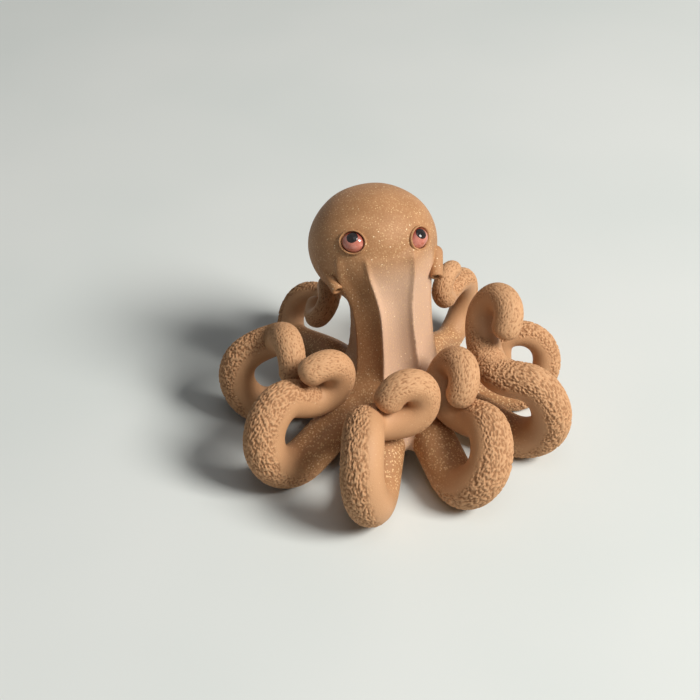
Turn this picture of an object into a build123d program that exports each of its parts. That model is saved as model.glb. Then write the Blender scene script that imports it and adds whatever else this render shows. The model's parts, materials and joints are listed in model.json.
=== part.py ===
from build123d import *
from math import cos, radians, sin, sqrt, tan
from typing import NamedTuple
import os

# Octopus ornament of fired clay, in millimetres, +Z up, its face towards -Y.
# A hand-built figure: a thrown body, eight rolled coils luted to it, two funnels and two bead eyes.
# The figure's own left is +X.

# Arms: rolled coils of clay that taper towards the tip
TIP_SHARE = 0.5
TIP_BLUNTNESS = 0.9
TAPER_POWER = 1.15
FOOT_FLAT = 0.4
ARM_SECTIONS = 22
TURNS_PER_SECTION = 6
HOOK_STATIONS = 5
CURL_STATIONS = 5

# Seats: the flat ends of the body's stubs that the arms are luted to
SEAT_REACH = 21.0
SEAT_CLEARANCE = 3.0
STUB_FLARE = 3.0
STUB_FLARE_REACH = 8.0
STUB_FLARE_RISE = 2.9
STUB_WAIST = 0.7
STUB_WAIST_REACH = 15.5
STUB_WAIST_RISE = 0.6

# Mantle: a flattened round sac whose crown leans back over the neck
MANTLE_RADIUS = 16.3
MANTLE_CROWN = 14.8
MANTLE_PITCH = 50.0
MANTLE_CENTRE = (-2.8, 12.0, 47.5)

# Underside: a shallow dish, so that only the arms touch the table
DISH_RADIUS = 30.0
DISH_DEPTH = 2.0

# Eyes: a bead in a ring of clay, set in a round pocket in the head
BEAD_RADIUS = 2.9
BEAD_STAND_OUT = 1.5
LID_WIDTH = 0.7
LID_STAND_OUT = 0.7
LID_ROUNDING = 0.3
POCKET_DEPTH = 1.2
LUTE_GAP = 0.06
PUPIL_RADIUS = 1.4
PUPIL_DOME = 0.45
PUPIL_SEAT_DEPTH = 0.35
GAZE_RISE = 32.0

# Funnels: short tapered tubes with a round root, bedded between the neck and the rim of the mantle
FUNNEL_ROOT_RADIUS = 1.9
FUNNEL_MOUTH_RADIUS = 1.6
FUNNEL_BORE_RADIUS = 0.8
FUNNEL_BORE_DEPTH = 3.5


class Eye(NamedTuple):
    """Where an eye sits on the mantle, in degrees: to the left of straight ahead, then up."""

    spread: float
    pitch: float


# The eyes were set by hand, so they are not quite a mirrored pair
EYES = {"right": Eye(-33.0, 33.0), "left": Eye(40.0, 26.0)}


class Funnel(NamedTuple):
    """The two ends of a funnel's axis."""

    root: tuple
    mouth: tuple


FUNNELS = {
    "right": Funnel((-16.1, 5.8, 46.4), (-14.4, -0.6, 43.3)),
    "left": Funnel((11.6, 4.6, 46.8), (10.5, -1.3, 43.6)),
}


class Slice(NamedTuple):
    """One level of the body: its place, its size and how hollow its flutes are."""

    height: float
    setback: float
    half_width: float
    half_depth: float
    crest: float
    channel_hollow: float
    flank_hollow: float


# Levels of the body from the skirt to the face. A crest runs down from under each eye.
SLICES = (
    Slice(4.0, 0.0, 16.5, 16.5, 24.0, 0.2, 0.2),
    Slice(12.0, 0.3, 14.6, 14.6, 23.5, 0.6, 0.3),
    Slice(20.0, 1.0, 12.5, 12.3, 22.5, 1.0, 0.4),
    Slice(30.0, 2.4, 11.5, 11.2, 21.0, 1.1, 0.4),
    Slice(40.0, 5.4, 12.0, 11.8, 20.5, 0.9, 0.3),
    Slice(48.0, 8.6, 12.3, 12.2, 26.0, 0.3, 0.1),
    Slice(54.0, 11.5, 10.5, 11.0, 30.0, 0.1, 0.1),
)
SIDE_CREST = 61.0
REAR_CREST = 128.0
LEAN_SIDE = 1.4


class Arm(NamedTuple):
    """A coil that comes out of the body, hooks up from its foot and ends in a curl.

    Angles are in degrees. The heading is counted from straight ahead, positive to the figure's left.
    Places are (out, side, up) in the arm's own upright plane.
    """

    node: str
    heading: float
    radius: float
    reach: float
    hook_radius: float
    hook_end_radius: float
    hook_end: float
    lean: float
    curl_centre: tuple
    curl_radius: float
    curl_end_radius: float
    curl_start: float
    curl_end: float
    curl_yaw: float
    curl_tilt: float


ARMS = (
    Arm("arm_right_1", -21, 5.6, 35.8, 9.1, 10.4, 144, -8, (24.4, 5.2, 25.5), 6.1, 4.0, -69, 152, 121, 0),
    Arm("arm_right_2", -58, 5.5, 34.2, 9.1, 9.3, 146, -13, (25.6, -1.6, 25.0), 6.5, 5.1, 230, 69, -14, -9),
    Arm("arm_right_3", -100, 5.0, 31.5, 6.6, 12.7, 93, -10, (27.6, 4.7, 23.7), 5.2, 4.4, 124, -12, 106, -5),
    Arm("arm_right_4", -149, 3.8, 38.0, 5.6, 8.9, 98, -41, (28.2, 0.0, 21.4), 4.8, 3.8, 62, 315, -37, 31),
    Arm("arm_left_1", 12, 5.6, 33.7, 7.2, 10.2, 141, 30, (22.2, 5.7, 24.9), 6.0, 4.2, 239, 0, -7, -22),
    Arm("arm_left_2", 51, 5.3, 33.1, 10.3, 10.3, 115, -3, (25.1, 6.3, 35.1), 6.5, 4.3, 248, 8, -41, -25),
    Arm("arm_left_3", 81, 3.9, 31.8, 10.9, 5.5, 122, 20.7, (32.5, 3.4, 13.0), 4.3, 3.8, 179, 246.6, -14, 3.6),
    Arm("arm_left_4", 138, 3.7, 30.2, 10.2, 9.2, 111, -4, (26.7, -2.0, 26.0), 3.8, 3.9, 235, 60, 0, 0),
)

UP = Vector(0, 0, 1)
LEFT = Vector(1, 0, 0)
QUARTER_TURN = 90
HALF_TURN = 180


def heading_vector(heading):
    """The level direction at a heading: 0 is straight ahead, along -Y."""
    return Vector(sin(radians(heading)), -cos(radians(heading)), 0)


def turn(angle, first, second):
    """The direction at an angle from the first axis towards the second."""
    return first * cos(radians(angle)) + second * sin(radians(angle))


def between(start, end, share):
    return start + (end - start) * share


def arm_axes(arm):
    out = heading_vector(arm.heading)
    return out, UP.cross(out)


def arm_place(arm, out_by, side_by, up_by):
    out, side = arm_axes(arm)
    return out * out_by + side * side_by + UP * up_by


def hook_stations(arm):
    """Points round the hook, from the foot on the table to where the curl takes over."""
    out, side = arm_axes(arm)
    rise = turn(arm.lean, UP, side)
    centre = arm_place(arm, arm.reach, 0, arm.radius - FOOT_FLAT) + rise * arm.hook_radius
    points = []
    for step in range(HOOK_STATIONS):
        share = step / (HOOK_STATIONS - 1)
        radius = between(arm.hook_radius, arm.hook_end_radius, share)
        points.append(centre + turn(between(-QUARTER_TURN, arm.hook_end, share), out, rise) * radius)
    return points


def curl_axes(arm):
    out, side = arm_axes(arm)
    across = turn(arm.curl_yaw, out, side)
    return across, turn(arm.curl_tilt, UP, across.cross(UP))


def curl_stations(arm):
    """Points round the curl, from its start to the tip."""
    across, rise = curl_axes(arm)
    centre = arm_place(arm, *arm.curl_centre)
    points = []
    for step in range(CURL_STATIONS):
        share = step / (CURL_STATIONS - 1)
        radius = between(arm.curl_radius, arm.curl_end_radius, share)
        points.append(centre + turn(between(arm.curl_start, arm.curl_end, share), across, rise) * radius)
    return points


def tip_direction(arm):
    """The way the curl runs where it ends."""
    across, rise = curl_axes(arm)
    onward = QUARTER_TURN if arm.curl_end > arm.curl_start else -QUARTER_TURN
    return turn(arm.curl_end + onward, across, rise)


def seat_plane(arm):
    """The flat face where the arm meets the body's stub, facing outwards, with room under it."""
    out, side = arm_axes(arm)
    return Plane(origin=arm_place(arm, SEAT_REACH, 0, arm.radius + SEAT_CLEARANCE), x_dir=side, z_dir=out)


def coil_path(arm):
    """The coil's centre line: one smooth curve from the seat round the hook and the curl to the tip."""
    seat = seat_plane(arm)
    points = [seat.origin, *hook_stations(arm), *curl_stations(arm)]
    steps = [sqrt((end - start).length) for start, end in zip(points, points[1:])]
    knots = [sum(steps[:index]) for index in range(len(points))]
    ends = (seat.z_dir * steps[0], tip_direction(arm) * steps[-1])
    return Edge.make_spline(points, tangents=ends, parameters=knots, scale=False)


def spun(plane, outline):
    """A solid turned about a plane's axis, from a closed half outline that starts and ends on the axis."""
    upright = Plane(plane.origin, plane.x_dir, plane.x_dir.cross(plane.z_dir))
    return revolve(upright * make_face(outline), Axis(plane.origin, plane.z_dir))


def make_tip(end_plane, radius):
    """The rounded end of a coil, on the coil's last section."""
    curve = EllipticalCenterArc((0, 0), radius, radius * TIP_BLUNTNESS, start_angle=0, arc_size=QUARTER_TURN)
    return spun(end_plane, [curve, Line(curve @ 1, (0, 0)), Line((0, 0), curve @ 0)])


def coil_planes(path, side):
    """Planes across the coil, carried from its seat to its tip in small turns so that they don't twist."""
    turns = (ARM_SECTIONS - 1) * TURNS_PER_SECTION
    planes = []
    for step in range(turns + 1):
        share = step / turns
        along = path.tangent_at(share)
        side = (side - along * side.dot(along)).normalized()
        if step % TURNS_PER_SECTION == 0:
            planes.append(Plane(origin=path.position_at(share), x_dir=side, z_dir=along))
    return planes


def make_arm(arm):
    path = coil_path(arm)
    foot = path.param_at_point(hook_stations(arm)[0])
    planes = coil_planes(path, seat_plane(arm).x_dir)
    sections = []
    for step, plane in enumerate(planes):
        share = step / (ARM_SECTIONS - 1)
        tapered = max(0, (share - foot) / (1 - foot)) ** TAPER_POWER
        radius = arm.radius * between(1, TIP_SHARE, tapered)
        sections.append(plane * Circle(radius))
    coil = loft(sections) + make_tip(planes[-1], radius)
    return split(coil, bisect_by=Plane.XY, keep=Keep.TOP)


def make_stub(arm):
    """A flared root that grows out of the skirt and ends in the arm's seat."""
    seat = seat_plane(arm)
    height = seat.origin.Z
    flare = Plane(arm_place(arm, STUB_FLARE_REACH, 0, height + STUB_FLARE_RISE), seat.x_dir, seat.z_dir)
    waist = Plane(arm_place(arm, STUB_WAIST_REACH, 0, height + STUB_WAIST_RISE), seat.x_dir, seat.z_dir)
    rings = (
        flare * Circle(arm.radius + STUB_FLARE),
        waist * Circle(arm.radius + STUB_WAIST),
        seat * Circle(arm.radius),
    )
    return loft(rings)


def slice_point(level, heading, inset=0):
    """A point on a level's outline, or that far inside it."""
    around = heading_vector(heading)
    reach = 1 / sqrt((around.X / level.half_width) ** 2 + (around.Y / level.half_depth) ** 2)
    shift = -level.height * tan(radians(LEAN_SIDE))
    return Vector(shift, level.setback, level.height) + around * (reach - inset)


def slice_face(level):
    """A level's outline: hollow flutes between sharp crests in front, a round back."""
    crests = (-REAR_CREST, -SIDE_CREST, -level.crest, level.crest, SIDE_CREST, REAR_CREST)
    hollows = (level.flank_hollow, level.flank_hollow, level.channel_hollow)
    hollows = hollows + hollows[1::-1]
    edges = []
    for start, end, hollow in zip(crests, crests[1:], hollows):
        middle = (start + end) / 2
        ends = slice_point(level, start), slice_point(level, end)
        chord_reach = (sum(ends, Vector()) / 2 - slice_point(level, middle)).length
        edges.append(ThreePointArc(ends[0], slice_point(level, middle, chord_reach + hollow), ends[1]))
    rear = slice_point(level, HALF_TURN)
    back = ThreePointArc(slice_point(level, REAR_CREST), rear, slice_point(level, -REAR_CREST))
    return make_face([*edges, back])


def lean_axis():
    """The mantle's own axis, which leans back from the vertical."""
    return Vector(0, cos(radians(MANTLE_PITCH)), sin(radians(MANTLE_PITCH)))


def make_mantle():
    """The mantle: a ball flattened along an axis that leans back."""
    upright = Plane(origin=MANTLE_CENTRE, x_dir=lean_axis().cross(LEFT), z_dir=lean_axis())
    flattened = (1, 1, MANTLE_CROWN / MANTLE_RADIUS)
    return upright.location * scale(Sphere(MANTLE_RADIUS), by=flattened)


def mantle_direction(spread, pitch):
    """A direction from the mantle's centre: spread to the left of straight ahead, then pitched up."""
    return turn(pitch, heading_vector(spread), UP)


def mantle_plane(direction):
    """A plane that touches the mantle's surface in a direction from its centre, facing outwards."""
    along = direction.dot(lean_axis())
    reach = 1 / sqrt((along / MANTLE_CROWN) ** 2 + (1 - along**2) / MANTLE_RADIUS**2)
    level = UP.cross(direction).normalized()
    return Plane(origin=Vector(*MANTLE_CENTRE) + direction * reach, x_dir=level, z_dir=direction)


def eye_plane(eye):
    return mantle_plane(mantle_direction(eye.spread, eye.pitch))


def disc(plane, radius, start, end):
    """A round block on a plane's axis, from one depth to another."""
    return extrude(plane.offset(start) * Circle(radius), end - start)


def make_eye(eye):
    """The ring of clay, the bead inside it and its pupil, all resting on the pocket's floor."""
    face = eye_plane(eye)
    floor = face.offset(-POCKET_DEPTH)
    bead_centre = face.offset(BEAD_STAND_OUT - BEAD_RADIUS)
    lid_height = POCKET_DEPTH + LID_STAND_OUT
    lid = disc(floor, BEAD_RADIUS + LID_WIDTH, 0, lid_height) - disc(floor, BEAD_RADIUS, 0, lid_height)
    lid = fillet(lid.edges().group_by(Axis(floor.origin, floor.z_dir))[-1], LID_ROUNDING)
    bead = bead_centre.location * Sphere(BEAD_RADIUS - LUTE_GAP)
    bead = split(bead, bisect_by=floor, keep=Keep.TOP)
    gaze = turn(GAZE_RISE, face.z_dir, face.y_dir)
    look = Plane(origin=bead_centre.origin, x_dir=face.x_dir, z_dir=gaze)
    rim = sqrt((BEAD_RADIUS - LUTE_GAP) ** 2 - PUPIL_RADIUS**2)
    seat = look.offset(rim - PUPIL_SEAT_DEPTH)
    bead = bead - disc(seat, PUPIL_RADIUS, 0, BEAD_RADIUS)
    dome_height = BEAD_RADIUS - rim + PUPIL_SEAT_DEPTH + PUPIL_DOME
    pupil = disc(seat, PUPIL_RADIUS - LUTE_GAP, 0, dome_height)
    pupil = fillet(pupil.edges().group_by(Axis(seat.origin, seat.z_dir))[-1], PUPIL_DOME)
    return lid, bead, pupil


def funnel_shape(funnel, room=0):
    """A funnel without its bore, or the bed for it in the body, which leaves that much room round it."""
    axis = Vector(*funnel.mouth) - Vector(*funnel.root)
    root = Plane(origin=funnel.root, z_dir=axis)
    wide = FUNNEL_ROOT_RADIUS + room
    mouth = (FUNNEL_MOUTH_RADIUS + room, axis.length + room)
    dome = CenterArc((0, 0), wide, -QUARTER_TURN, QUARTER_TURN)
    rest = Polyline(dome @ 1, mouth, (0, axis.length + room), dome @ 0)
    return spun(root, [dome, rest])


def make_funnel(funnel):
    axis = Vector(*funnel.mouth) - Vector(*funnel.root)
    mouth = Plane(origin=funnel.mouth, z_dir=axis)
    return funnel_shape(funnel) - disc(mouth, FUNNEL_BORE_RADIUS, -FUNNEL_BORE_DEPTH, 0)


def make_body():
    """The body: skirt, neck and mantle in one, with seats for the arms, eyes and funnels."""
    body = loft([slice_face(level) for level in SLICES]) + make_mantle()
    for arm in ARMS:
        body = body + make_stub(arm)
    skirt = SLICES[0].height
    body = body - Pos(0, 0, skirt + DISH_DEPTH - DISH_RADIUS) * Sphere(DISH_RADIUS)
    for eye in EYES.values():
        body = body - disc(eye_plane(eye), BEAD_RADIUS + LID_WIDTH + LUTE_GAP, -POCKET_DEPTH, BEAD_RADIUS)
    for funnel in FUNNELS.values():
        body = body - funnel_shape(funnel, LUTE_GAP)
    return body


pieces = {"body": make_body()}
for arm in ARMS:
    pieces[arm.node] = make_arm(arm)
for name in EYES:
    pieces["eyelid_" + name], pieces["eyeball_" + name], pieces["pupil_" + name] = make_eye(EYES[name])
    pieces["funnel_" + name] = make_funnel(FUNNELS[name])

# The origin is the middle of the figure's footprint, on the table
box = Compound(list(pieces.values())).bounding_box()
shift = Pos(-box.center().X, -box.center().Y, 0)
print("moved by", shift.position, "size", box.size)

os.makedirs("parts", exist_ok=True)
for node, piece in pieces.items():
    export_step(shift * piece, "parts/" + node + ".step")
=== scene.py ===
import json
from math import cos, pi, radians, sin, tau
from typing import NamedTuple

import bpy
import numpy as np
import openvdb
from mathutils import Matrix, Vector, noise


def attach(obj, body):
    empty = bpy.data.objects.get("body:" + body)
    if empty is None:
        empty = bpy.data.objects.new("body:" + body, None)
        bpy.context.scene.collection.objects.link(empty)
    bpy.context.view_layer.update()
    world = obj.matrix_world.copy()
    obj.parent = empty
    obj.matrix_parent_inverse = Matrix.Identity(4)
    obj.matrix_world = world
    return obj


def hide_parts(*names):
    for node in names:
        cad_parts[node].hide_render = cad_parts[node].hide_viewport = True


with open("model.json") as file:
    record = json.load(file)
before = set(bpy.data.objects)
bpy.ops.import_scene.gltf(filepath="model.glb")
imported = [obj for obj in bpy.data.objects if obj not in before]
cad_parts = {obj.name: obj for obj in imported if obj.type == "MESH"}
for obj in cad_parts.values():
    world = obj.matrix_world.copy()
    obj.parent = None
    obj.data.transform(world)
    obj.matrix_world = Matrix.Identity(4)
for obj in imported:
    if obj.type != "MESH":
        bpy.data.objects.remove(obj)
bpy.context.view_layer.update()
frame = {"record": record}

# Lengths are in millimetres and angles in degrees, as in the part's source. Meshes are written in metres
MILLIMETRE = 0.001
UP = np.array((0.0, 0.0, 1.0))
TINY = 1e-6

# Arms
TIP_SHARE = 0.66
TIP_BLUNTNESS = 0.9
TAPER_POWER = 1.15
FOOT_FLAT = 0.4
HOOK_STATIONS = 5
CURL_STATIONS = 5
SEAT_REACH = 21.0
SEAT_CLEARANCE = 3.0

# The arm's mesh: rings along it, points round it, and how far its root goes into the body
COIL_RINGS = 480
ROOT_RINGS = 12
RING_POINTS = 190
CAP_RINGS = 14
ROOT_DEPTH = 3.0
ROOT_SHRINK = 0.5
LINE_SAMPLES = 1500
# How far the point that closes the tip stands out, as a share of the last ring's inset
TIP_POINT = 0.3

# Where the stippled and the rubbed skin start, in lengths of the line's span between the seat and the hook
HOOKED_FROM = 0.6
HOOKED_FULL = 1.15
RISEN_FROM = 0.9

# Stipple on the outer side of each arm: short worm-like lumps, and fine cracks towards the tip
STIPPLE_SIZE = 0.5
TIP_STIPPLE_SIZE = 0.38
STIPPLE_DEPTH = 0.34
TIP_STIPPLE_DEPTH = 0.15
STIPPLE_MIDDLE = 0.55
FINE_LUMP_SHARE = 0.5
FINE_LUMP_SCALE = 2.1
FINE_LUMP_OFFSET = (7.3, 1.9, 4.1)
# Noise values of the grooves and of the lumps, on the hook and on the curl
GROOVE_NOISE = (-0.4, -0.6)
LUMP_NOISE = (0.4, 0.15)
# How far round to the outer side the stipple starts and is full, on the hook and on the curl
FIELD_STARTS = (-0.05, -0.3)
FIELD_FULLS = (0.35, 0.4)
# The ragged edge of the stipple
RAGGED_SHARE = 0.2
RAGGED_SCALE = 0.5
# The hand's slow unevenness, and how far apart in the noise the arms lie
WOBBLE_SIZE = 9.0
WOBBLE_HEIGHT = 0.12
ARM_NOISE_STEP = 137.0

# Body
MANTLE_RADIUS = 16.3
MANTLE_CROWN = 14.8
MANTLE_PITCH = 50.0
MANTLE_CENTRE = np.array((-2.8, 12.0, 47.5))
STUB_START = 4.0
STUB_REACHES = (8.0, 15.5, SEAT_REACH)
STUB_RISES = (2.9, 0.6, 0.0)
STUB_EXTRAS = (3.0, 0.7, 0.0)
STUB_TAIL = 2.5
STUB_TAIL_SHRINK = 0.45
DISH_RADIUS = 30.0
DISH_DEPTH = 2.0
SIDE_CREST = 61.0
REAR_CREST = 128.0
LEAN_SIDE = 1.4

# Levels of the body: height, setback, half width, half depth, crest angle, channel hollow, flank hollow
SLICES = np.array((
    (4.0, 0.0, 16.5, 16.5, 24.0, 0.2, 0.2),
    (12.0, 0.3, 14.6, 14.6, 23.5, 0.6, 0.3),
    (20.0, 1.0, 12.5, 12.3, 22.5, 1.0, 0.4),
    (30.0, 2.4, 11.5, 11.2, 21.0, 1.1, 0.4),
    (40.0, 5.4, 12.0, 11.8, 20.5, 0.9, 0.3),
    (48.0, 8.6, 12.3, 12.2, 26.0, 0.3, 0.1),
    (54.0, 11.5, 10.5, 11.0, 30.0, 0.1, 0.1),
))

# The face: above this height the neck comes forward and widens to carry the eyes, up to the face's top
FACE_HEIGHT = 40.0
FACE_TOP = 54.3
FACE_FADE_BELOW = 2.5
FACE_FADE_ABOVE = 2.0
FACE_PUSH = 3.8
FACE_SWELL = 0.16
# The neck's top inside the mantle slopes down to the back from the brow
BROW_HEIGHT = 56.0
BROW_PLACE = -3.0
BROW_SLOPE = 0.6
# How far each front crest turns away from its level's own angle, from this height up to the face's top
FLARE_HEIGHT = 36.0
LEFT_CREST_TURN = -3.5
RIGHT_CREST_TURN = 1.5

# Lips along the front crests and the right cheek: height, width, and where they rise and begin to fade
CREST_LIP = 0.55
CREST_LIP_WIDTH = 0.6
CREST_LIP_RISE = (6.0, 14.0)
CREST_LIP_FADE = 48.0
CHEEK_LIP = 2.2
CHEEK_LIP_WIDTH = 2.0
CHEEK_LIP_RISE = (36.0, 46.0)
CHEEK_LIP_FADE = 50.0

# The body's skin: its grid, the box that holds it, and how wide the creases between its forms are rounded
VOXEL = 0.35
BAND_VOXELS = 3
BODY_LOW = np.array((-27.0, -26.0, 1.0))
BODY_HIGH = np.array((26.0, 30.0, 64.0))
BODY_MIDDLE = np.array((0.0, 6.0, 30.0))
BODY_WOBBLE = 0.006
SKIRT_BLEND = 4.0
FUNNEL_BLEND = 1.2
FUNNEL_INSET = 0.35
# The mantle's crease is narrow at the face and wide at the nape, and changes between these headings
FACE_BLEND = 1.2
NAPE_BLEND = 4.5
NAPE_FROM = 45.0
NAPE_FULL = 95.0
# Grit all over the body, and more on the skirt, which fades out between two heights
BODY_GRIT = 0.25
SKIRT_GRIT = 0.55
SKIRT_GRIT_FADE = (8.0, 24.0)
# Burnish, with a painted sheen, over the channel and the panel left of it: its edges, counted from two
# crests, and where it fades
BURNISH_AND_SHEEN_RIGHT_EDGE = (-4.0, 1.0)
BURNISH_AND_SHEEN_LEFT_EDGE = (-6.0, 4.0)
BURNISH_AND_SHEEN_TOP = 44.0

# Eyes: to the left of straight ahead, then up
EYES = {"right": (-33.0, 33.0), "left": (40.0, 26.0)}
BEAD_RADIUS = 2.9
BEAD_STAND_OUT = 1.5
BEAD_FIT = 0.99
EYE_WIDENING = 1.09
EYE_LOWERING = 0.92
# Heights on the bead between which painted shade darkens it under the lid
LID_SHADE_FROM = -0.5
LID_SHADE_FULL = 2.6
LID_OFFSET = 0.14
LID_HALF_WIDTH = 0.28
LID_HALF_HEIGHT = 0.455
LID_SINK = 0.1
# The pupil: its back and its lift are shares of the bead's radius, and its rim is a share of its dome
PUPIL_RADIUS = 1.4
PUPIL_BACK = 0.7
PUPIL_LIFT = 0.012
PUPIL_RIM = 0.2
GAZE_RISE = 26.0
EYE_AROUND = 96
EYE_RINGS = 48
LID_RINGS = 24
PUPIL_RINGS = 24

# Funnels: the two ends of each one's axis
FUNNELS = {
    "right": ((-16.1, 5.8, 46.4), (-14.4, -0.6, 43.3)),
    "left": ((11.6, 4.6, 46.8), (10.5, -1.3, 43.6)),
}
FUNNEL_ROOT_RADIUS = 1.9
FUNNEL_MOUTH_RADIUS = 1.6
FUNNEL_BORE_RADIUS = 0.8
FUNNEL_BORE_DEPTH = 3.5
FUNNEL_AROUND = 64
FUNNEL_ROUND_RINGS = 10
FUNNEL_WALL_RINGS = 12
FUNNEL_WALL_START = 0.1
FUNNEL_BORE_RINGS = 8


class Arm(NamedTuple):
    """A coil that comes out of the body, hooks up from its foot and ends in a curl.

    The curl's centre is given outward, sideways and up from the figure's middle.
    """

    node: str
    heading: float
    radius: float
    reach: float
    hook_radius: float
    hook_end_radius: float
    hook_end: float
    lean: float
    curl_centre: tuple
    curl_radius: float
    curl_end_radius: float
    curl_start: float
    curl_end: float
    curl_yaw: float
    curl_tilt: float


ARMS = (
    Arm("arm_right_1", -21, 5.6, 35.8, 9.1, 10.4, 144, -8, (24.4, 5.2, 25.5), 6.1, 4.0, -69, 152, 121, 0),
    Arm("arm_right_2", -58, 5.5, 34.2, 9.1, 9.3, 146, -13, (25.6, -1.6, 25.0), 6.5, 5.1, 230, 69, -14, -9),
    Arm("arm_right_3", -100, 5.0, 31.5, 6.6, 12.7, 93, -10, (27.6, 4.7, 23.7), 5.2, 4.4, 124, -12, 106, -5),
    Arm("arm_right_4", -149, 3.8, 38.0, 5.6, 8.9, 98, -41, (28.2, 0.0, 21.4), 4.8, 3.8, 62, 315, -37, 31),
    Arm("arm_left_1", 12, 5.6, 33.7, 7.2, 10.2, 141, 30, (22.2, 5.7, 24.9), 6.0, 4.2, 239, 0, -7, -22),
    Arm("arm_left_2", 51, 5.3, 33.1, 10.3, 10.3, 115, -3, (25.1, 6.3, 35.1), 6.5, 4.3, 248, 8, -41, -25),
    Arm("arm_left_3", 81, 3.9, 31.8, 10.9, 5.5, 122, 20.7, (32.5, 3.4, 13.0), 4.3, 3.8, 179, 246.6, -14, 3.6),
    Arm("arm_left_4", 138, 3.7, 30.2, 10.2, 9.2, 111, -4, (26.7, -2.0, 26.0), 3.8, 3.9, 235, 60, 0, 0),
)
# How far the stippled side is turned round the arm from the outer side of its hook
STIPPLE_TURNS = {"arm_right_1": -55, "arm_left_1": 15}


# Small geometry helpers

def unit(vector):
    return vector / np.linalg.norm(vector)


def unit_rows(vectors):
    return vectors / np.maximum(np.linalg.norm(vectors, axis=1), TINY)[:, None]


def smooth_step(low, high, value):
    share = np.clip((value - low) / (high - low), 0, 1)
    return share * share * (3 - 2 * share)


def between(start, end, share):
    return start + (end - start) * share


def heading_vector(heading):
    return np.array((sin(radians(heading)), -cos(radians(heading)), 0.0))


def turn(angle, first, second):
    """The direction at an angle from the first axis towards the second."""
    return first * cos(radians(angle)) + second * sin(radians(angle))


def spline_slopes(points, knots, first_slope, last_slope):
    """The slopes at the points of the smooth line through them, with its end slopes given."""
    gaps = np.diff(knots)
    rises = np.diff(points, axis=0) / gaps[:, None]
    matrix = np.eye(len(points))
    right_side = np.zeros(points.shape)
    right_side[0] = first_slope
    right_side[-1] = last_slope
    for row in range(1, len(points) - 1):
        before = gaps[row - 1]
        after = gaps[row]
        matrix[row, row - 1 : row + 2] = (after, 2 * (before + after), before)
        right_side[row] = 3 * (after * rises[row - 1] + before * rises[row])
    return np.linalg.solve(matrix, right_side)


def spline_places(points, knots, slopes, where):
    """Places on the smooth line at the given knot values."""
    span = np.clip(np.searchsorted(knots, where, side="right") - 1, 0, len(knots) - 2)
    gap = np.diff(knots)[span][:, None]
    share = (where - knots[span])[:, None] / gap
    bend = share * share * (3 - 2 * share)
    leave = share * (1 - share) ** 2 * gap * slopes[span]
    arrive = share * share * (share - 1) * gap * slopes[span + 1]
    return points[span] * (1 - bend) + points[span + 1] * bend + leave + arrive


def smooth_union(first, second, width):
    """The nearer of two distances, with the crease between them rounded over a width."""
    overlap = np.clip(0.5 + 0.5 * (second - first) / width, 0, 1)
    return between(second, first, overlap) - width * overlap * (1 - overlap)


# The frame: the first right arm's foot carries the mount, which fixes where the figure stands

def frame_shift():
    foot = heading_vector(ARMS[0].heading) * ARMS[0].reach
    mount = np.array(frame["record"]["mounts"][0]["pos_m"]) / MILLIMETRE
    return np.array((mount[0] - foot[0], mount[1] - foot[1], 0.0))


SHIFT = frame_shift()


# Meshes

def make_piece(name, points, faces, material):
    """A mesh piece of the figure, from points in millimetres, that stands for the CAD node of its name."""
    mesh = bpy.data.meshes.new(name + "_mesh")
    mesh.from_pydata(((points + SHIFT) * MILLIMETRE).tolist(), [], faces)
    mesh.validate()
    mesh.polygons.foreach_set("use_smooth", [True] * len(mesh.polygons))
    mesh.materials.append(material)
    piece = bpy.data.objects.new(name + "_look", mesh)
    bpy.context.scene.collection.objects.link(piece)
    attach(piece, "root")
    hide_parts(name)
    return piece


def set_attribute(piece, name, values):
    attribute = piece.data.attributes.new(name, "FLOAT", "POINT")
    attribute.data.foreach_set("value", np.asarray(values, np.float32))


def band_faces(low, high, around):
    """Faces between two rings of points, given where each ring starts."""
    index = np.arange(around)
    following = (index + 1) % around
    return np.stack((low + index, low + following, high + following, high + index), 1).tolist()


def ring_faces(rings, around):
    """Faces of a closed tube of rings, with a point before the first ring and one after the last."""
    first = rings * around
    last = first + 1
    index = np.arange(around)
    following = (index + 1) % around
    faces = []
    for ring in range(rings - 1):
        faces += band_faces(ring * around, (ring + 1) * around, around)
    faces += np.stack((following, index, np.full(around, first)), 1).tolist()
    end = (rings - 1) * around
    faces += np.stack((end + index, end + following, np.full(around, last)), 1).tolist()
    return faces


# Materials

# Clay colours
CLAY_MID = (0.33, 0.16, 0.068, 1.0)
CLAY_WARM = (0.4, 0.2, 0.09, 1.0)
# The next colour is painted shade for the stipple's grooves
CLAY_GROOVE_SHADE = (0.22, 0.095, 0.036, 1.0)
# The next colour is the pale grain, and also a painted highlight on the stipple's lumps
CLAY_PALE_GRAIN_AND_HIGHLIGHT = (0.62, 0.37, 0.2, 1.0)
CLAY_RUBBED = (0.56, 0.315, 0.165, 1.0)
# The next colour is a painted sheen: pale clay that stands for the light's shine on the burnished front of
# the neck
CLAY_PAINTED_SHEEN = (0.7, 0.475, 0.34, 1.0)
SPECK_PALE = (0.88, 0.69, 0.45, 1.0)
SPECK_GOLD = (0.74, 0.5, 0.26, 1.0)
# How strongly each finish, and the painted sheen, shade and highlight, tints the clay
GRAIN_TINT = 0.2
RUBBED_TINT = 0.7
PAINTED_SHEEN_TINT = 0.7
PRESSED_TINT = 0.75
GROOVE_SHADE_TINT = 0.6
LUMP_HIGHLIGHT_TINT = 0.45
SAND_TINT = 0.75
FINE_TINT = 0.75
COARSE_TINT = 0.95
# How much of the specks a rubbed skin loses
RUBBED_LOSS = 0.8
# Heights in the stipple at which the groove's painted shade and the lump's painted highlight start and are
# full
GROOVE_SHADE_RELIEF = (0.0, -0.5)
LUMP_HIGHLIGHT_RELIEF = (0.2, 0.45)
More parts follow.
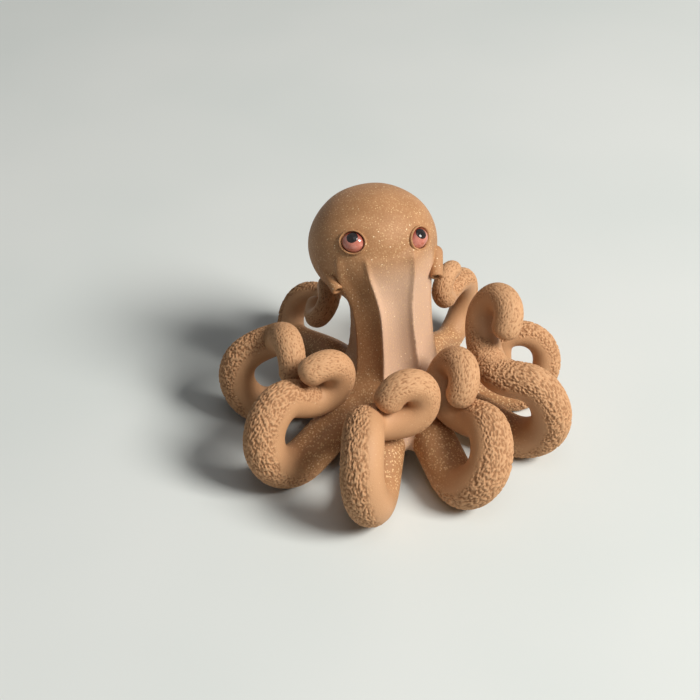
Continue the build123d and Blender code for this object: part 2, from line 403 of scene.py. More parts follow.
# Roughness of the smooth and the pressed skin, where the pressed one is full, and what the burnish takes off
SMOOTH_ROUGHNESS = 0.55
PRESSED_ROUGHNESS = 0.75
PRESSED_FULL = 0.8
BURNISHED_SHINE = 0.17
# Noises: lumps per millimetre, detail, roughness
PATCH_NOISE = (0.12, 3.0, 0.5)
GRAIN_NOISE = (2.6, 4.0, 0.65)
SKIN_NOISE = (3.6, 4.0, 0.6)
EYE_NOISE = (0.9, 4.0, 0.6)
PUPIL_NOISE = (1.4, 3.0, 0.5)
FLOOR_NOISE = (0.01, 2.0, 0.5)
# Noise values between which one colour goes over into the other
PATCH_EDGES = (0.35, 0.65)
CLOUD_EDGES = (0.3, 0.7)
PUPIL_EDGES = (0.4, 0.7)
# Specks: cells per millimetre, radius in cells, and the share of the cells that hold one
FINE_SPECKS = (1.6, 0.3, 0.45)
COARSE_SPECKS = (0.85, 0.17, 0.3)
SAND_SPECKS = (1.5, 0.45, 0.75)
# The share of a speck's radius within which it is full
SPECK_CORE = 0.5
# Bumps: strength, height in millimetres
SKIN_BUMP = (0.6, 0.14)
SPECK_BUMP = (0.35, 0.1)
# Eye colours
EYE_CORAL = (0.46, 0.13, 0.085, 1.0)
# The next colour is painted shade under the eyelid
EYE_LID_SHADE = (0.27, 0.055, 0.035, 1.0)
EYE_PINK = (0.6, 0.24, 0.18, 1.0)
PUPIL_BLACK = (0.006, 0.005, 0.005, 1.0)
PUPIL_BROWN = (0.02, 0.011, 0.009, 1.0)
# Places of the colour sockets of a mix node, whose names other sockets have too
MIX_FIRST = 6
MIX_SECOND = 7
MIX_RESULT = 2


class Nodes:
    """A material's nodes, made and linked with short calls."""

    def __init__(self, name):
        self.material = bpy.data.materials.new(name)
        self.material.use_nodes = True
        self.tree = self.material.node_tree
        self.shader = self.tree.nodes["Principled BSDF"]

    def add(self, kind, **settings):
        node = self.tree.nodes.new(kind)
        for key, value in settings.items():
            setattr(node, key, value)
        return node

    def link(self, source, target):
        self.tree.links.new(source, target)

    def feed(self, value, socket):
        if isinstance(value, (int, float, tuple)):
            socket.default_value = value
        else:
            self.link(value, socket)

    def coordinates(self):
        return self.add("ShaderNodeTexCoord").outputs["Object"]

    def noise(self, per_millimetre, detail, roughness):
        node = self.add("ShaderNodeTexNoise")
        node.inputs["Scale"].default_value = per_millimetre / MILLIMETRE
        node.inputs["Detail"].default_value = detail
        node.inputs["Roughness"].default_value = roughness
        self.link(self.coordinates(), node.inputs["Vector"])
        return node.outputs["Fac"]

    def specks(self, per_millimetre, radius, chosen):
        """1 inside small round specks, one in a chosen share of the cells, and 0 outside."""
        node = self.add("ShaderNodeTexVoronoi")
        node.inputs["Scale"].default_value = per_millimetre / MILLIMETRE
        self.link(self.coordinates(), node.inputs["Vector"])
        inside = self.ramp(node.outputs["Distance"], radius, radius * SPECK_CORE)
        channel = self.add("ShaderNodeSeparateColor")
        self.link(node.outputs["Color"], channel.inputs["Color"])
        picked = self.math("LESS_THAN", channel.outputs["Red"], chosen)
        return self.times(inside, picked)

    def ramp(self, value, low, high, low_out=0.0, high_out=1.0):
        node = self.add("ShaderNodeMapRange", interpolation_type="SMOOTHSTEP")
        self.feed(value, node.inputs["Value"])
        node.inputs["From Min"].default_value = low
        node.inputs["From Max"].default_value = high
        node.inputs["To Min"].default_value = low_out
        node.inputs["To Max"].default_value = high_out
        return node.outputs["Result"]

    def math(self, operation, first, second):
        node = self.add("ShaderNodeMath", operation=operation)
        self.feed(first, node.inputs[0])
        self.feed(second, node.inputs[1])
        return node.outputs[0]

    def times(self, first, second):
        return self.math("MULTIPLY", first, second)

    def mix(self, share, first, second):
        node = self.add("ShaderNodeMix", data_type="RGBA")
        self.feed(share, node.inputs["Factor"])
        self.feed(first, node.inputs[MIX_FIRST])
        self.feed(second, node.inputs[MIX_SECOND])
        return node.outputs[MIX_RESULT]

    def attribute(self, name):
        return self.add("ShaderNodeAttribute", attribute_name=name).outputs["Fac"]

    def bump(self, height, strength, distance, under=None):
        node = self.add("ShaderNodeBump")
        node.inputs["Strength"].default_value = strength
        node.inputs["Distance"].default_value = distance * MILLIMETRE
        self.link(height, node.inputs["Height"])
        if under is not None:
            self.link(under, node.inputs["Normal"])
        return node.outputs["Normal"]

    def set(self, **sockets):
        for name, value in sockets.items():
            self.feed(value, self.shader.inputs[name.replace("_", " ")])


def clay_material():
    """Unglazed brown clay: warm and cool patches, pale grit, grooves darkened with painted shade, high spots
    paler from rubbing and a painted highlight, and a painted sheen on the burnished front of the neck.
    """
    nodes = Nodes("fired_clay")
    relief = nodes.attribute("relief")
    pressed = nodes.attribute("pressed")
    rubbed = nodes.attribute("rubbed")
    grit = nodes.attribute("grit")
    burnish_and_sheen = nodes.attribute("burnish_and_sheen")
    colour = nodes.mix(nodes.ramp(nodes.noise(*PATCH_NOISE), *PATCH_EDGES), CLAY_MID, CLAY_WARM)
    grain = nodes.ramp(nodes.noise(*GRAIN_NOISE), *CLOUD_EDGES)
    colour = nodes.mix(nodes.times(grain, GRAIN_TINT), colour, CLAY_PALE_GRAIN_AND_HIGHLIGHT)
    colour = nodes.mix(nodes.times(rubbed, RUBBED_TINT), colour, CLAY_RUBBED)
    # Painted sheen: paler clay over the burnished channel and the panel beside it, on the side the key lamp
    # lights
    colour = nodes.mix(nodes.times(burnish_and_sheen, PAINTED_SHEEN_TINT), colour, CLAY_PAINTED_SHEEN)
    colour = nodes.mix(nodes.times(pressed, PRESSED_TINT), colour, CLAY_RUBBED)
    # Painted shade darkens the stipple's grooves, and its lumps are paler, partly as rubbed clay and partly
    # as a painted highlight
    colour = nodes.mix(nodes.ramp(relief, *GROOVE_SHADE_RELIEF, 0.0, GROOVE_SHADE_TINT), colour, CLAY_GROOVE_SHADE)
    colour = nodes.mix(nodes.ramp(relief, *LUMP_HIGHLIGHT_RELIEF, 0.0, LUMP_HIGHLIGHT_TINT), colour, CLAY_PALE_GRAIN_AND_HIGHLIGHT)
    worked = nodes.math("MAXIMUM", pressed, nodes.times(rubbed, RUBBED_LOSS))
    bare = nodes.math("SUBTRACT", 1.0, worked)
    fine = nodes.times(nodes.specks(*FINE_SPECKS), bare)
    coarse = nodes.times(nodes.specks(*COARSE_SPECKS), bare)
    sand = nodes.times(nodes.specks(*SAND_SPECKS), nodes.times(grit, bare))
    colour = nodes.mix(nodes.times(sand, SAND_TINT), colour, SPECK_GOLD)
    colour = nodes.mix(nodes.times(fine, FINE_TINT), colour, SPECK_GOLD)
    colour = nodes.mix(nodes.times(coarse, COARSE_TINT), colour, SPECK_PALE)
    skin = nodes.bump(nodes.noise(*SKIN_NOISE), *SKIN_BUMP)
    skin = nodes.bump(nodes.math("ADD", coarse, sand), *SPECK_BUMP, skin)
    dull = nodes.ramp(pressed, 0.0, PRESSED_FULL, SMOOTH_ROUGHNESS, PRESSED_ROUGHNESS)
    dull = nodes.math("SUBTRACT", dull, nodes.times(burnish_and_sheen, BURNISHED_SHINE))
    nodes.set(Base_Color=colour, Roughness=dull, Normal=skin)
    nodes.set(Specular_IOR_Level=0.24)
    return nodes.material


def eye_material():
    """A glossy coral bead with painted shade under the lid, so it is paler below."""
    nodes = Nodes("eye_glaze")
    clouds = nodes.ramp(nodes.noise(*EYE_NOISE), *CLOUD_EDGES)
    colour = nodes.mix(clouds, EYE_CORAL, EYE_PINK)
    # Painted shade under the lid darkens the bead's upper part
    colour = nodes.mix(nodes.attribute("lid_shade"), colour, EYE_LID_SHADE)
    nodes.set(Base_Color=colour, Roughness=0.18, Specular_IOR_Level=0.2)
    nodes.set(Coat_Weight=0.6, Coat_Roughness=0.03)
    return nodes.material


def pupil_material():
    """A glossy black glaze with a little brown in it."""
    nodes = Nodes("pupil_glaze")
    clouds = nodes.ramp(nodes.noise(*PUPIL_NOISE), *PUPIL_EDGES)
    colour = nodes.mix(clouds, PUPIL_BLACK, PUPIL_BROWN)
    nodes.set(Base_Color=colour, Roughness=0.12, Specular_IOR_Level=0.0)
    nodes.set(Coat_Weight=0.6, Coat_Roughness=0.02)
    return nodes.material


CLAY = clay_material()
EYE = eye_material()
PUPIL = pupil_material()


# Making the arms

def arm_axes(arm):
    out = heading_vector(arm.heading)
    return out, np.cross(UP, out)


def arm_place(arm, out_by, side_by, up_by):
    out, side = arm_axes(arm)
    return out * out_by + side * side_by + UP * up_by


def hook_centre(arm):
    side = arm_axes(arm)[1]
    rise = turn(arm.lean, UP, side)
    return arm_place(arm, arm.reach, 0, arm.radius - FOOT_FLAT) + rise * arm.hook_radius


def hook_stations(arm):
    out, side = arm_axes(arm)
    rise = turn(arm.lean, UP, side)
    points = []
    for share in np.linspace(0, 1, HOOK_STATIONS):
        radius = between(arm.hook_radius, arm.hook_end_radius, share)
        points.append(hook_centre(arm) + turn(between(-90, arm.hook_end, share), out, rise) * radius)
    return points


def curl_axes(arm):
    out, side = arm_axes(arm)
    across = turn(arm.curl_yaw, out, side)
    return across, turn(arm.curl_tilt, UP, np.cross(across, UP))


def curl_stations(arm):
    across, rise = curl_axes(arm)
    points = []
    for share in np.linspace(0, 1, CURL_STATIONS):
        radius = between(arm.curl_radius, arm.curl_end_radius, share)
        angle = between(arm.curl_start, arm.curl_end, share)
        points.append(arm_place(arm, *arm.curl_centre) + turn(angle, across, rise) * radius)
    return points


def tip_direction(arm):
    across, rise = curl_axes(arm)
    quarter = 90 if arm.curl_end > arm.curl_start else -90
    return turn(arm.curl_end + quarter, across, rise)


class Coil(NamedTuple):
    """An arm's centre line in even steps.

    Each step has its radius, how far it is into the hook, up the riser and into the curl, and its place
    along the line.
    """

    centres: np.ndarray
    radii: np.ndarray
    hooked: np.ndarray
    risen: np.ndarray
    curled: np.ndarray
    lengths: np.ndarray


def make_coil(arm):
    out = arm_axes(arm)[0]
    seat = arm_place(arm, SEAT_REACH, 0, arm.radius + SEAT_CLEARANCE)
    points = np.array([seat, *hook_stations(arm), *curl_stations(arm)])
    steps = np.sqrt(np.linalg.norm(np.diff(points, axis=0), axis=1))
    knots = np.concatenate(((0,), np.cumsum(steps)))
    slopes = spline_slopes(points, knots, out * steps[0], tip_direction(arm) * steps[-1])
    where = np.linspace(0, knots[-1], LINE_SAMPLES)
    places = spline_places(points, knots, slopes, where)
    run = np.concatenate(((0,), np.cumsum(np.linalg.norm(np.diff(places, axis=0), axis=1))))
    even = np.linspace(0, run[-1], COIL_RINGS)
    where = np.interp(even, run, where)
    tapered = np.clip((where - knots[1]) / (knots[-1] - knots[1]), 0, 1) ** TAPER_POWER
    return Coil(
        spline_places(points, knots, slopes, where),
        arm.radius * between(1, TIP_SHARE, tapered),
        smooth_step(knots[1] * HOOKED_FROM, knots[1] * HOOKED_FULL, where),
        smooth_step(knots[1] * RISEN_FROM, knots[2], where),
        smooth_step(knots[HOOK_STATIONS], knots[HOOK_STATIONS + 2], where),
        even,
    )


def with_ends(coil, out, tip):
    """The coil with its hidden root in front and its rounded tip behind."""
    root = np.linspace(-ROOT_DEPTH, 0, ROOT_RINGS, endpoint=False)
    root_centres = coil.centres[0] + root[:, None] * out
    root_radii = coil.radii[0] + root / ROOT_DEPTH * ROOT_SHRINK
    swell = np.linspace(0, 0.5 * pi, CAP_RINGS + 2)[1:-1]
    reach = coil.radii[-1] * TIP_BLUNTNESS * np.sin(swell)
    tip_centres = coil.centres[-1] + reach[:, None] * tip
    none = np.zeros(len(root))
    full = np.ones(len(reach))
    return Coil(
        np.concatenate((root_centres, coil.centres, tip_centres)),
        np.concatenate((root_radii, coil.radii, coil.radii[-1] * np.cos(swell))),
        np.concatenate((none, coil.hooked, full)),
        np.concatenate((none, coil.risen, full)),
        np.concatenate((none, coil.curled, full)),
        np.concatenate((root, coil.lengths, coil.lengths[-1] + reach)),
    )


def ring_axes(centres, side):
    """The direction along the line at each centre, and two across it, carried along without twisting."""
    along = unit_rows(np.gradient(centres, axis=0))
    first = np.empty_like(centres)
    for index, direction in enumerate(along):
        side = unit(side - direction * side.dot(direction))
        first[index] = side
    return along, first, np.cross(along, first)


def outer_side(arm, coil, along):
    """The direction at each ring that points away from the middle of the hook, then of the curl."""
    away = []
    for middle in (hook_centre(arm), arm_place(arm, *arm.curl_centre)):
        offset = coil.centres - middle
        away.append(unit_rows(offset - along * np.sum(offset * along, axis=1)[:, None]))
    from_hook, from_curl = away
    from_hook = turn(STIPPLE_TURNS.get(arm.node, 0), from_hook, np.cross(along, from_hook))
    return unit_rows(between(from_hook, from_curl, coil.curled[:, None]))


def straight_places(coil, angles):
    """Where each surface point would be if the arm were straight, so that its stipple follows the arm."""
    across = coil.radii[:, None] * np.cos(angles)
    above = coil.radii[:, None] * np.sin(angles)
    onward = np.repeat(coil.lengths[:, None], len(angles), 1)
    return np.stack((across, above, onward), 2)


def stipple(place, curled):
    """Height from 0 in the grooves to 1 on the lumps, at a place on the hook or the curl."""
    spot = Vector(place / between(STIPPLE_SIZE, TIP_STIPPLE_SIZE, curled))
    fine = noise.noise(spot * FINE_LUMP_SCALE + Vector(FINE_LUMP_OFFSET))
    worms = noise.noise(spot) + FINE_LUMP_SHARE * fine
    return float(smooth_step(between(*GROOVE_NOISE, curled), between(*LUMP_NOISE, curled), worms))


def press_stipple(arm, coil, facing, places):
    """Each surface point's lift, its height in the stipple, and how far it is inside the stippled field."""
    lifts = np.zeros(facing.shape)
    relief = np.zeros(facing.shape)
    pressed = np.zeros(facing.shape)
    tip_radius = arm.radius * TIP_SHARE
    for ring, curled in enumerate(coil.curled):
        field_start = between(*FIELD_STARTS, curled)
        field_full = between(*FIELD_FULLS, curled)
        depth = between(STIPPLE_DEPTH, TIP_STIPPLE_DEPTH, curled) * min(1.0, coil.radii[ring] / tip_radius)
        for point, place in enumerate(places[ring]):
            spot = Vector(place)
            ragged = facing[ring, point] + RAGGED_SHARE * noise.noise(spot * RAGGED_SCALE)
            mask = float(smooth_step(field_start, field_full, ragged)) * coil.hooked[ring]
            height = stipple(place, curled) - STIPPLE_MIDDLE if mask > 0 else 0.0
            wobble = noise.noise(spot / WOBBLE_SIZE) * WOBBLE_HEIGHT
            lifts[ring, point] = depth * mask * height + wobble * coil.hooked[ring]
            relief[ring, point] = mask * height
            pressed[ring, point] = mask
    return lifts, relief, pressed


def make_arm(arm, number):
    """One arm: a tapered coil with pressed stipple on its outer side and smooth flanks."""
    out, side = arm_axes(arm)
    coil = with_ends(make_coil(arm), out, tip_direction(arm))
    along, first, second = ring_axes(coil.centres, side)
    angles = np.linspace(0, tau, RING_POINTS, endpoint=False)
    normals = first[:, None] * np.cos(angles)[:, None] + second[:, None] * np.sin(angles)[:, None]
    facing = np.einsum("rak,rk->ra", normals, outer_side(arm, coil, along))
    places = straight_places(coil, angles)
    places[:, :, 2] += number * ARM_NOISE_STEP
    lifts, relief, pressed = press_stipple(arm, coil, facing, places)
    surface = coil.centres[:, None] + normals * coil.radii[:, None, None]
    surface = surface + normals * lifts[:, :, None]
    surface[:, :, 2] = np.maximum(surface[:, :, 2], 0)
    rubbed = coil.risen[:, None] * (1 - pressed)
    grit = np.repeat(1 - coil.risen[:, None], RING_POINTS, 1)
    tip = coil.centres[-1] + along[-1] * (coil.radii[-2] - coil.radii[-1]) * TIP_POINT
    points = np.concatenate((surface.reshape(-1, 3), (coil.centres[0],), (tip,)))
    piece = make_piece(arm.node, points, ring_faces(len(coil.radii), RING_POINTS), CLAY)
    set_attribute(piece, "relief", np.append(relief.ravel(), (0, 0)))
    set_attribute(piece, "pressed", np.append(pressed.ravel(), (0, pressed[-1, 0])))
    set_attribute(piece, "rubbed", np.append(rubbed.ravel(), (0, rubbed[-1, 0])))
    set_attribute(piece, "grit", np.append(grit.ravel(), (1, 0)))


# Making the body

def lean_axis():
    return np.array((0.0, cos(radians(MANTLE_PITCH)), sin(radians(MANTLE_PITCH))))


def mantle_direction(spread, pitch):
    return turn(pitch, heading_vector(spread), UP)


class Seat(NamedTuple):
    """A place on the head: a point, a level direction, an upward one and the way it faces."""

    origin: np.ndarray
    level: np.ndarray
    upward: np.ndarray
    facing: np.ndarray

    def deeper(self, depth):
        return self._replace(origin=self.origin - self.facing * depth)

    def place(self, across, upward, outward):
        return self.origin + self.level * across + self.upward * upward + self.facing * outward


def mantle_seat(direction):
    along = direction @ lean_axis()
    reach = 1 / np.sqrt((along / MANTLE_CROWN) ** 2 + (1 - along**2) / MANTLE_RADIUS**2)
    level = unit(np.cross(UP, direction))
    return Seat(MANTLE_CENTRE + direction * reach, level, np.cross(direction, level), direction)


def eye_seat(eye):
    return mantle_seat(mantle_direction(*eye))


def bead_seat(eye):
    """The eye's seat, moved in to the middle of its bead."""
    return eye_seat(eye).deeper(BEAD_RADIUS - BEAD_STAND_OUT)


def wide_seat(seat):
    """A seat whose shapes come out wider and lower, as the eyes are."""
    return seat._replace(level=seat.level * EYE_WIDENING, upward=seat.upward * EYE_LOWERING)


def funnel_seat(funnel):
    """A funnel's root, facing along the funnel to its mouth."""
    root, mouth = np.array(funnel)
    facing = unit(mouth - root)
    level = unit(np.cross(UP, facing))
    return Seat(root, level, np.cross(facing, level), facing)


def mantle_distance(places):
    offset = places - MANTLE_CENTRE
    along = offset @ lean_axis()
    across = np.maximum(np.sum(offset * offset, axis=-1) - along**2, 0)
    scaled = np.sqrt((along / MANTLE_CROWN) ** 2 + across / MANTLE_RADIUS**2)
    steep = np.sqrt((along / MANTLE_CROWN**2) ** 2 + across / MANTLE_RADIUS**4)
    return scaled * (scaled - 1) / np.maximum(steep, TINY)


def level_values(heights):
    """The body's sizes at any height, from the smooth lines through its levels."""
    knots = SLICES[:, 0]
    values = SLICES[:, 1:]
    rises = np.diff(values, axis=0) / np.diff(knots)[:, None]
    slopes = spline_slopes(values, knots, rises[0], rises[-1])
    return spline_places(values, knots, slopes, np.clip(heights, knots[0], knots[-1])).T


def face_share(heights):
    """How much of the face's push and swell there is at each height."""
    rise = np.clip((heights - FACE_HEIGHT) / (FACE_TOP - FACE_HEIGHT), 0, 1) ** 2
    return rise * (1 - smooth_step(FACE_TOP - FACE_FADE_BELOW, FACE_TOP + FACE_FADE_ABOVE, heights))


def neck_heading(places, setback):
    """Each place's heading and distance from the middle of its own level."""
    across = places[:, 0] + places[:, 2] * np.tan(radians(LEAN_SIDE))
    ahead = setback - FACE_PUSH * face_share(places[:, 2]) - places[:, 1]
    return np.degrees(np.arctan2(across, ahead)), np.hypot(across, ahead)


def with_lip(reach, angle, shown, lip, width):
    """The neck's reach with a rounded lip along a crest that is at an angle from each place."""
    beside = np.radians(angle) * reach
    return reach + lip * shown * np.exp(-((beside / width) ** 2))


def neck_distance(places):
    """Distance to the fluted neck: straight or hollow panels between crests, and a round back."""
    heights = places[:, 2]
    setback, half_width, half_depth, crest, channel_hollow, flank_hollow = level_values(heights)
    heading, distance = neck_heading(places, setback)
    half_width = half_width * (1 + FACE_SWELL * face_share(heights))
    half_depth = half_depth * (1 + FACE_SWELL * face_share(heights))

    def oval(angle):
        return 1 / np.hypot(np.sin(np.radians(angle)) / half_width, np.cos(np.radians(angle)) / half_depth)

    reach = oval(heading)
    flare = smooth_step(FLARE_HEIGHT, FACE_TOP, heights)
    left = crest + LEFT_CREST_TURN * flare
    right = -crest - RIGHT_CREST_TURN * flare
    side = np.full_like(crest, SIDE_CREST)
    rear = np.full_like(crest, REAR_CREST)
    panels = (
        (-rear, -side, flank_hollow),
        (-side, right, flank_hollow),
        (right, left, channel_hollow),
        (left, side, flank_hollow),
        (side, rear, flank_hollow),
    )
    for start, end, hollow in panels:
        inside = (heading >= start) & (heading < end)
        from_start = oval(start) * np.sin(np.radians(heading - start))
        to_end = oval(end) * np.sin(np.radians(end - heading))
        whole = oval(start) * oval(end) * np.sin(np.radians(end - start))
        chord = whole / np.where(inside, from_start + to_end, 1)
        middle = 2 * (heading - start) / (end - start) - 1
        reach = np.where(inside, chord - hollow * (1 - middle**2), reach)
    shown = smooth_step(*CREST_LIP_RISE, heights) * (1 - smooth_step(CREST_LIP_FADE, FACE_TOP, heights))
    for line in (right, left):
        reach = with_lip(reach, heading - line, shown, CREST_LIP, CREST_LIP_WIDTH)
    shown = smooth_step(*CHEEK_LIP_RISE, heights) * (1 - smooth_step(CHEEK_LIP_FADE, FACE_TOP, heights))
    reach = with_lip(reach, heading + side, shown, CHEEK_LIP, CHEEK_LIP_WIDTH)
    brow = heights - BROW_HEIGHT + BROW_SLOPE * (places[:, 1] - BROW_PLACE)
    top_gap = brow / np.hypot(1, BROW_SLOPE)
    return np.maximum(distance - reach, np.maximum(SLICES[0, 0] - heights, top_gap))


def stub_distance(arm, places):
    """Distance to the flared root of an arm, which ends inside the arm's own coil."""
    out, side = arm_axes(arm)
    reach = places @ out
    reaches = (*STUB_REACHES, SEAT_REACH + STUB_TAIL)
    height = arm.radius + SEAT_CLEARANCE + np.interp(reach, STUB_REACHES, STUB_RISES)
    radius = arm.radius + np.interp(reach, reaches, (*STUB_EXTRAS, -STUB_TAIL_SHRINK))
    round_gap = np.hypot(places @ side, places[:, 2] - height) - radius
    return np.maximum(round_gap, np.maximum(STUB_START - reach, reach - reaches[-1]))


def funnel_distance(funnel, places):
    """Distance to a fillet of clay smoothed round a funnel's root."""
    seat = funnel_seat(funnel)
    offset = places - seat.origin
    reach = np.clip(offset @ seat.facing, 0, FUNNEL_ROOT_RADIUS)
    return np.linalg.norm(offset - reach[:, None] * seat.facing, axis=1) - FUNNEL_ROOT_RADIUS + FUNNEL_INSET


def body_distance(places):
    """Distance to the whole body, with the dish under it and the hollows behind the beads taken out."""
    distance = neck_distance(places)
    for arm in ARMS:
        distance = smooth_union(distance, stub_distance(arm, places), SKIRT_BLEND)
    ahead = SLICES[-2, 1] - places[:, 1]
    heading = np.degrees(np.abs(np.arctan2(places[:, 0] - MANTLE_CENTRE[0], ahead)))
    blend = between(FACE_BLEND, NAPE_BLEND, smooth_step(NAPE_FROM, NAPE_FULL, heading))
    distance = smooth_union(distance, mantle_distance(places), blend)
    for funnel in FUNNELS.values():
        distance = smooth_union(distance, funnel_distance(funnel, places), FUNNEL_BLEND)
    dish = np.array((0, 0, SLICES[0, 0] + DISH_DEPTH - DISH_RADIUS))
    distance = np.maximum(distance, DISH_RADIUS - np.linalg.norm(places - dish, axis=1))
    for eye in EYES.values():
        from_bead = np.linalg.norm(places - bead_seat(eye).origin, axis=1)
        distance = np.maximum(distance, BEAD_RADIUS - from_bead)
    return distance


def make_body():
    """Skirt, fluted neck and mantle as one smooth skin, drawn round their distances."""
    counts = np.ceil((BODY_HIGH - BODY_LOW) / VOXEL).astype(int)
    columns = [BODY_LOW[axis] + VOXEL * np.arange(counts[axis]) for axis in range(3)]
    level, height = np.meshgrid(columns[1], columns[2], indexing="ij")
    field = np.empty(counts)
    for index, across in enumerate(columns[0]):
        places = np.stack((np.full(level.size, across), level.ravel(), height.ravel()), 1)
        field[index] = body_distance(places).reshape(level.shape)
    grid = openvdb.FloatGrid(float(VOXEL * BAND_VOXELS))
    grid.copyFromArray(field.astype(np.float32))
    points, quads = grid.convertToQuads(0.0)
    points = BODY_LOW + points * VOXEL
    wobble = np.array([noise.noise(Vector(point / WOBBLE_SIZE)) for point in points])
    points = points + (points - BODY_MIDDLE) * (wobble * BODY_WOBBLE)[:, None]
    piece = make_piece("body", points, quads[:, ::-1].tolist(), CLAY)
    heights = points[:, 2]
    set_attribute(piece, "grit", BODY_GRIT + SKIRT_GRIT * (1 - smooth_step(*SKIRT_GRIT_FADE, heights)))
    setback, *_, crest, _, _ = level_values(heights)
    heading = neck_heading(points, setback)[0]
    # The burnish mask also carries a painted sheen: paler clay on this lit front of the neck
    front = smooth_step(*BURNISH_AND_SHEEN_RIGHT_EDGE, heading + crest)
    front = front * (1 - smooth_step(*BURNISH_AND_SHEEN_LEFT_EDGE, heading - SIDE_CREST))
    set_attribute(piece, "burnish_and_sheen", front * (1 - smooth_step(BURNISH_AND_SHEEN_TOP, FACE_TOP, heights)))


# Making the eyes and funnels

def lathe(seat, profile, around):
    """Points of rings round a seat's axis, from (radius, height) pairs."""
    points = []
    for radius, height in profile:
        for angle in np.linspace(0, tau, around, endpoint=False):
            points.append(seat.place(radius * cos(angle), radius * sin(angle), height))
    return np.array(points)


def closed_lathe(name, seat, profile, around, material):
    """A solid of revolution whose profile starts and ends on the axis."""
    start, *rings, end = profile
    points = lathe(seat, rings, around)
    ends = np.array((seat.place(0, 0, start[1]), seat.place(0, 0, end[1])))
    return make_piece(name, np.concatenate((points, ends)), ring_faces(len(rings), around), material)


def ring_lathe(name, seat, profile, around, material):
    """A ring of revolution whose profile closes on itself."""
    faces = []
    for ring in range(len(profile)):
        following = (ring + 1) % len(profile)
        faces += band_faces(ring * around, following * around, around)
    return make_piece(name, lathe(seat, profile, around), faces, material)


def make_eyeball(name, bead):
    """A bead that nearly fills its hollow."""
    radius = BEAD_RADIUS * BEAD_FIT
    profile = []
    for angle in np.linspace(-0.5 * pi, 0.5 * pi, EYE_RINGS):
        profile.append((radius * cos(angle), radius * sin(angle)))
    piece = closed_lathe("eyeball_" + name, wide_seat(bead), profile, EYE_AROUND, EYE)
    offsets = np.array([vertex.co for vertex in piece.data.vertices]) / MILLIMETRE - SHIFT - bead.origin
    # The bead's painted shade under the lid, by height on the bead
    set_attribute(piece, "lid_shade", smooth_step(LID_SHADE_FROM, LID_SHADE_FULL, offsets @ bead.upward))


def make_pupil(name, bead):
    """A dot set in the bead, which stands a little proud of it and looks up."""
    gaze = turn(GAZE_RISE, bead.facing, bead.upward)
    look = Seat(bead.origin, bead.level, np.cross(gaze, bead.level), gaze)
    spread = np.arcsin(PUPIL_RADIUS / BEAD_RADIUS)
    profile = [(0.0, BEAD_RADIUS * PUPIL_BACK)]
    for share in np.linspace(0, 1, PUPIL_RINGS):
        angle = spread * (1 - share)
        radius = BEAD_RADIUS * (1.0 + PUPIL_LIFT * smooth_step(0, PUPIL_RIM, share))
        profile.append((radius * sin(angle), radius * cos(angle)))
    closed_lathe("pupil_" + name, look, profile, EYE_AROUND, PUPIL)


def make_eyelid(name, seat):
    """A thin ring of clay round the bead."""
    middle = BEAD_RADIUS + LID_OFFSET
    profile = []
    for angle in np.linspace(0, tau, LID_RINGS, endpoint=False):
        profile.append((middle + LID_HALF_WIDTH * cos(angle), LID_HALF_HEIGHT * sin(angle) - LID_SINK))
    ring_lathe("eyelid_" + name, wide_seat(seat), profile, EYE_AROUND, CLAY)


def make_funnel(name, funnel):
    """A tapered tube with a round root, a rolled lip and a blind bore."""
    seat = funnel_seat(funnel)
    length = np.linalg.norm(np.subtract(*funnel))
    lip = 0.5 * (FUNNEL_MOUTH_RADIUS - FUNNEL_BORE_RADIUS)
    profile = []
    for angle in np.linspace(-0.5 * pi, 0, FUNNEL_ROUND_RINGS):
        profile.append((FUNNEL_ROOT_RADIUS * cos(angle), FUNNEL_ROOT_RADIUS * sin(angle)))
    for share in np.linspace(FUNNEL_WALL_START, 1, FUNNEL_WALL_RINGS):
        profile.append((between(FUNNEL_ROOT_RADIUS, FUNNEL_MOUTH_RADIUS, share), share * (length - lip)))
    for angle in np.linspace(0, pi, FUNNEL_ROUND_RINGS)[1:-1]:
        profile.append((FUNNEL_BORE_RADIUS + lip * (1 + cos(angle)), length - lip + lip * sin(angle)))
    for height in np.linspace(length - lip, length - FUNNEL_BORE_DEPTH, FUNNEL_BORE_RINGS):
        profile.append((FUNNEL_BORE_RADIUS, height))
    profile.append((0.0, length - FUNNEL_BORE_DEPTH))
    closed_lathe("funnel_" + name, seat, profile, FUNNEL_AROUND, CLAY)


for number, arm in enumerate(ARMS):
    make_arm(arm, number)
make_body()
for name, eye in EYES.items():
    make_eyeball(name, bead_seat(eye))
    make_pupil(name, bead_seat(eye))
    make_eyelid(name, eye_seat(eye))
    make_funnel(name, FUNNELS[name])


# Floor, light and camera

# The floor's and the lamps' sizes and places are in metres, and the lamps' power is in watts
FLOOR_SIZE = 6.0
FLOOR_PALE = (0.7, 0.73, 0.72, 1.0)
FLOOR_COOL = (0.66, 0.7, 0.69, 1.0)
LAMP_AIM = Vector((0, 0, 0.03))
WORLD_COLOUR = (0.95, 0.97, 1.0, 1.0)
WORLD_LIGHT = 0.07
BACKDROP_LIGHT = 0.85
CAMERA_AZIMUTH = -11.0
CAMERA_ELEVATION = 39.0
CAMERA_ROLL = -1.7
CAMERA_DISTANCE = 372.0
CAMERA_LENS = 71.5
CAMERA_CLIP_START = 0.01
SENSOR_WIDTH = 36.0
IMAGE_SIZE = 700.0
# Where the middle of the ring of arms is in the picture, in pixels
AIM_PIXEL = (395.0, 412.0)


class Lamp(NamedTuple):
    """A square soft lamp that faces the figure. Azimuth 0 is in front, positive to the figure's left."""

    name: str
    azimuth: float
    elevation: float
    distance: float
    size: float
    power: float
    colour: tuple


LAMPS = (
    Lamp("key_lamp", 52, 42, 1.4, 0.52, 27.5, (1.0, 0.97, 0.92)),
    Lamp("top_lamp", 10, 72, 0.9, 0.5, 1.0, (1.0, 0.99, 0.97)),
)


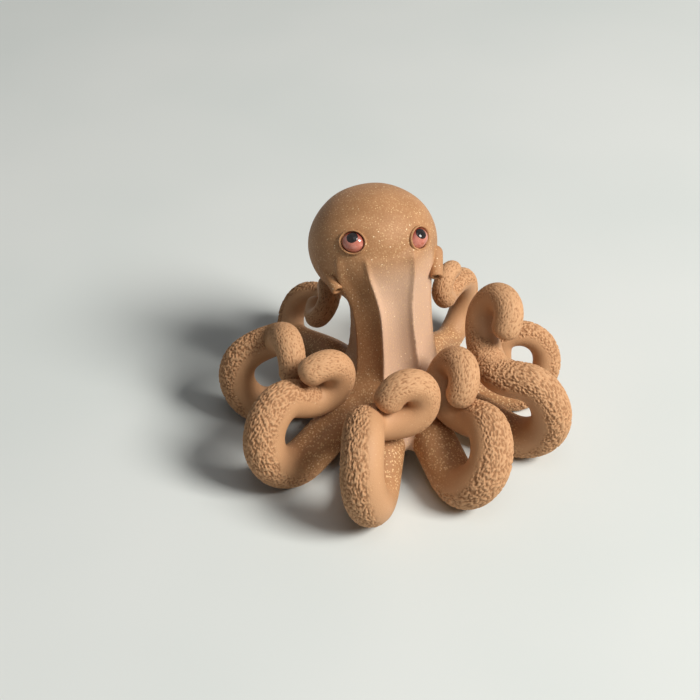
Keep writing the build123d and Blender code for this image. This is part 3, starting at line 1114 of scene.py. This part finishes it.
def make_floor():
    bpy.ops.mesh.primitive_plane_add(size=FLOOR_SIZE)
    floor = bpy.context.object
    floor.name = "floor"
    nodes = Nodes("pale_floor")
    colour = nodes.mix(nodes.ramp(nodes.noise(*FLOOR_NOISE), *CLOUD_EDGES), FLOOR_PALE, FLOOR_COOL)
    nodes.set(Base_Color=colour, Roughness=0.9, Specular_IOR_Level=0.0)
    floor.data.materials.append(nodes.material)


def make_lamp(lamp):
    away = turn(lamp.elevation, heading_vector(lamp.azimuth), UP)
    light = bpy.data.lights.new(lamp.name, "AREA")
    light.size = lamp.size
    light.energy = lamp.power
    light.color = lamp.colour
    holder = bpy.data.objects.new(lamp.name, light)
    holder.location = Vector(away * lamp.distance) + LAMP_AIM
    holder.rotation_euler = Vector(away).to_track_quat("Z", "Y").to_euler()
    bpy.context.scene.collection.objects.link(holder)


def make_world():
    """Even pale light all round, and a brighter backdrop to the camera, reflections and transmission."""
    world = bpy.data.worlds.new("studio")
    world.use_nodes = True
    bpy.context.scene.world = world
    tree = world.node_tree
    path = tree.nodes.new("ShaderNodeLightPath")
    seen = path.outputs["Is Camera Ray"]
    for ray in ("Is Glossy Ray", "Is Transmission Ray"):
        either = tree.nodes.new("ShaderNodeMath")
        either.operation = "MAXIMUM"
        tree.links.new(seen, either.inputs[0])
        tree.links.new(path.outputs[ray], either.inputs[1])
        seen = either.outputs[0]
    strength = tree.nodes.new("ShaderNodeMapRange")
    strength.inputs["To Min"].default_value = WORLD_LIGHT
    strength.inputs["To Max"].default_value = BACKDROP_LIGHT
    tree.links.new(seen, strength.inputs["Value"])
    background = tree.nodes["Background"]
    background.inputs["Color"].default_value = WORLD_COLOUR
    tree.links.new(strength.outputs["Result"], background.inputs["Strength"])


def make_camera():
    back = turn(CAMERA_ELEVATION, heading_vector(CAMERA_AZIMUTH), UP)
    right = np.array((cos(radians(CAMERA_AZIMUTH)), sin(radians(CAMERA_AZIMUTH)), 0.0))
    above = np.cross(back, right)
    rolled_right = turn(CAMERA_ROLL, right, above)
    rolled_up = turn(CAMERA_ROLL, above, -right)
    pixel = CAMERA_DISTANCE * SENSOR_WIDTH / CAMERA_LENS / IMAGE_SIZE
    offset = (np.array(AIM_PIXEL) - IMAGE_SIZE / 2) * pixel
    place = SHIFT + back * CAMERA_DISTANCE - rolled_right * offset[0] + rolled_up * offset[1]
    camera = bpy.data.objects.new("camera", bpy.data.cameras.new("camera"))
    camera.data.lens = CAMERA_LENS
    camera.data.sensor_width = SENSOR_WIDTH
    camera.data.clip_start = CAMERA_CLIP_START
    axes = Matrix((rolled_right, rolled_up, back)).transposed().to_4x4()
    camera.matrix_world = Matrix.Translation(Vector(place * MILLIMETRE)) @ axes
    bpy.context.scene.collection.objects.link(camera)
    bpy.context.scene.camera = camera


make_floor()
for lamp in LAMPS:
    make_lamp(lamp)
make_world()
make_camera()
bpy.context.scene.view_settings.view_transform = "Standard"
